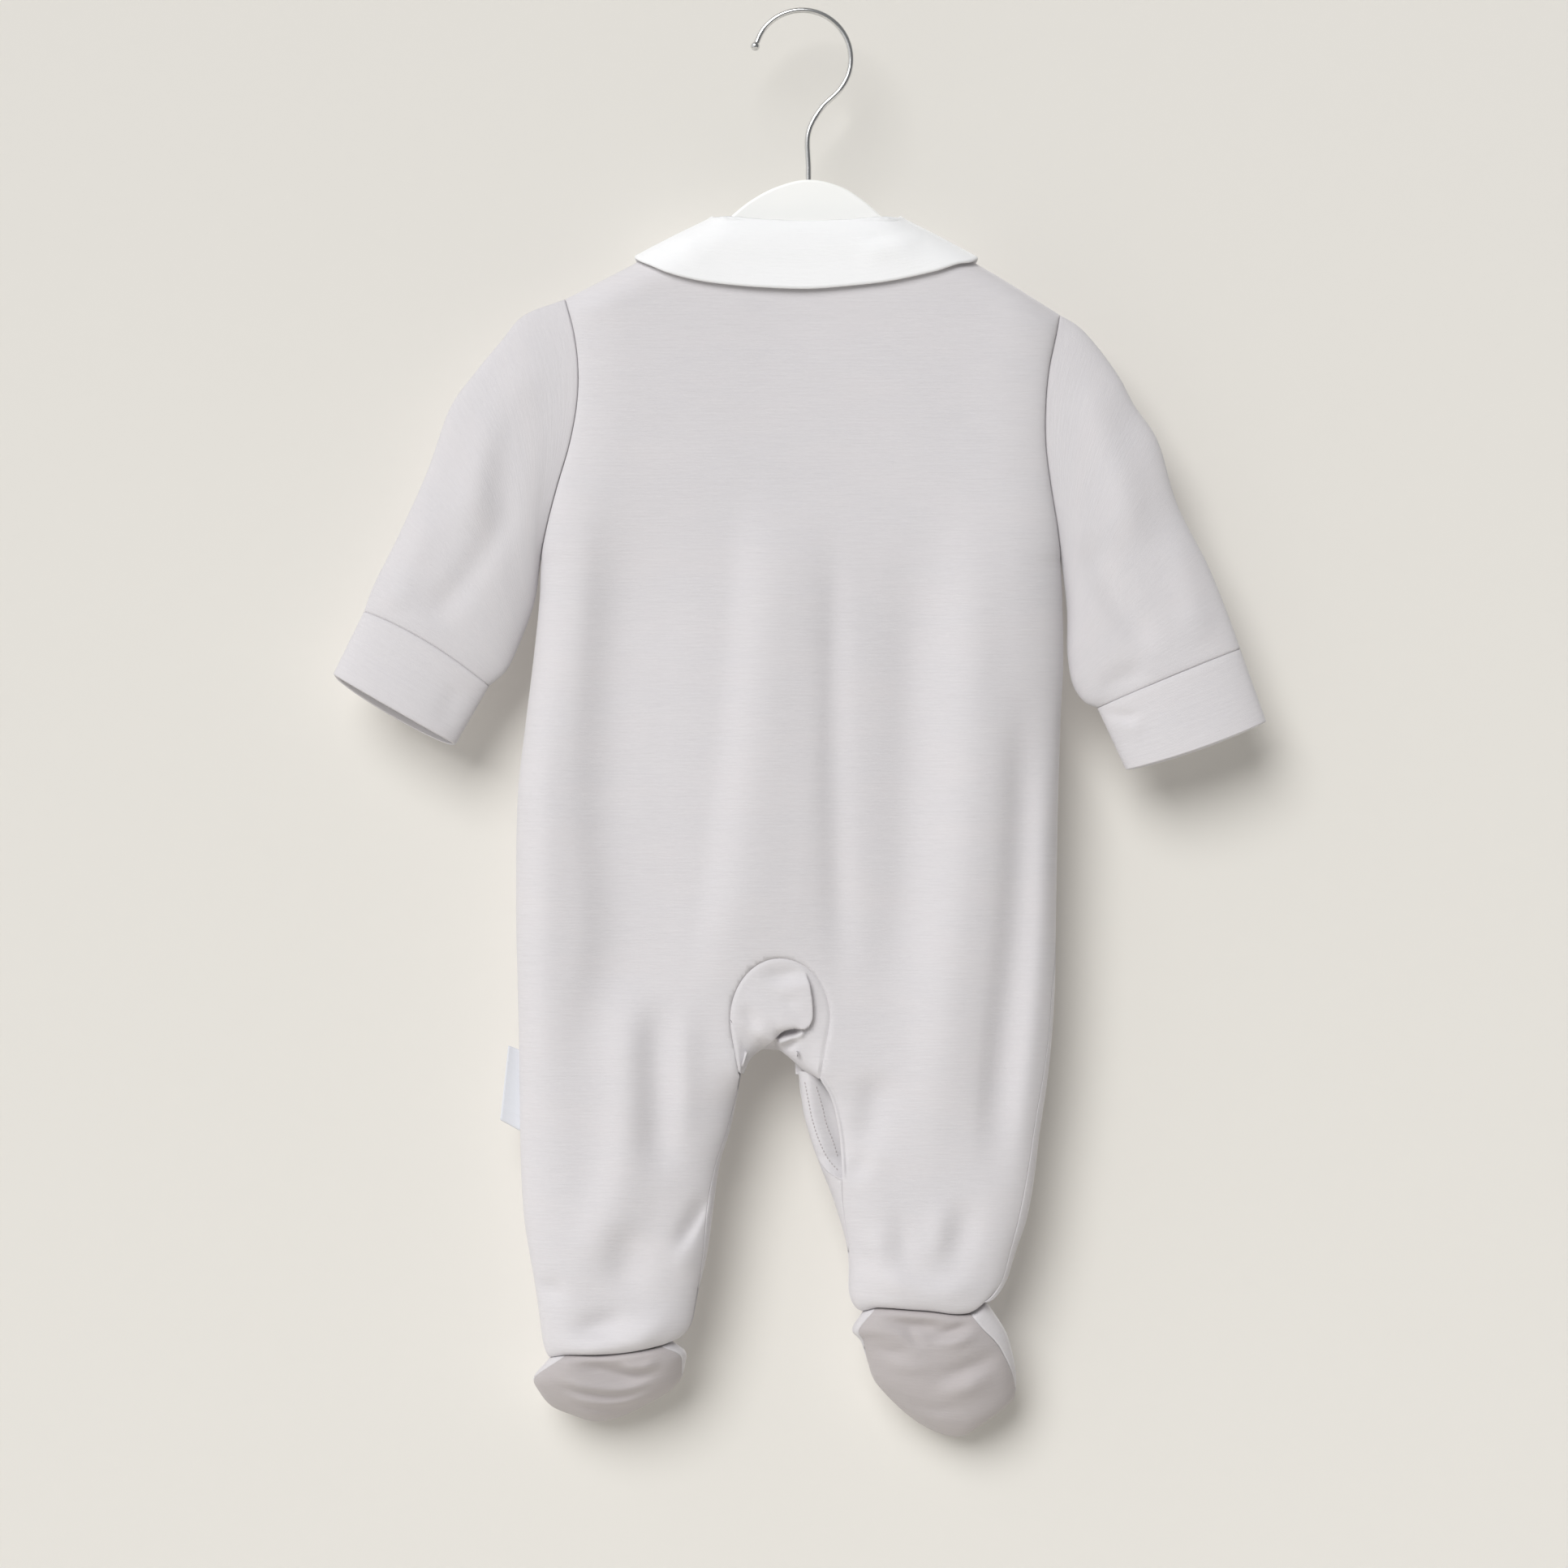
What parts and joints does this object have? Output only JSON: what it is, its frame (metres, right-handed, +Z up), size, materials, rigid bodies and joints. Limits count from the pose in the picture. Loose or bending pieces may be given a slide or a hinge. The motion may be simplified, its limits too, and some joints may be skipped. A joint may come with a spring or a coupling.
{
  "type": "footed baby sleepsuit on a hanger",
  "caption": "Long-sleeved footed sleepsuit with a round collar, turned cuffs and a crotch gusset, hanging on a small hooked hanger.",
  "frame": {"origin": "inside the top of the hanger's hook, where the peg or rail bears", "axes": "+Z up, -Y towards the viewer of the garment's back, +Y towards the garment's front"},
  "size_m": [0.4136, 0.0518, 0.6372],
  "materials": {
    "jersey": "soft pale grey cotton jersey",
    "sole_jersey": "pale grey cotton jersey, in shade",
    "white_knit": "white cotton interlock",
    "label_tape": "white woven tape, bare",
    "white_plastic": "smooth white",
    "snap_plastic": "smooth white press studs",
    "chrome": "polished wire"
  },
  "bodies": {
    "root": {"back": "jersey", "front_left": "jersey", "front_right": "jersey", "gusset": "jersey", "sleeve_left": "jersey", "sleeve_right": "jersey", "cuff_left": "jersey", "cuff_right": "jersey", "sole_left": "sole_jersey", "sole_right": "sole_jersey", "upper_left": "jersey", "upper_right": "jersey", "collar": "white_knit", "leg_placket": "jersey", "front_placket": "jersey", "snap_1": "snap_plastic", "snap_2": "snap_plastic", "snap_3": "snap_plastic", "snap_4": "snap_plastic", "snap_5": "snap_plastic", "snap_6": "snap_plastic", "snap_7": "snap_plastic", "side_label": "label_tape", "hanger": "white_plastic", "hook": "chrome"}
  },
  "joints": []
}
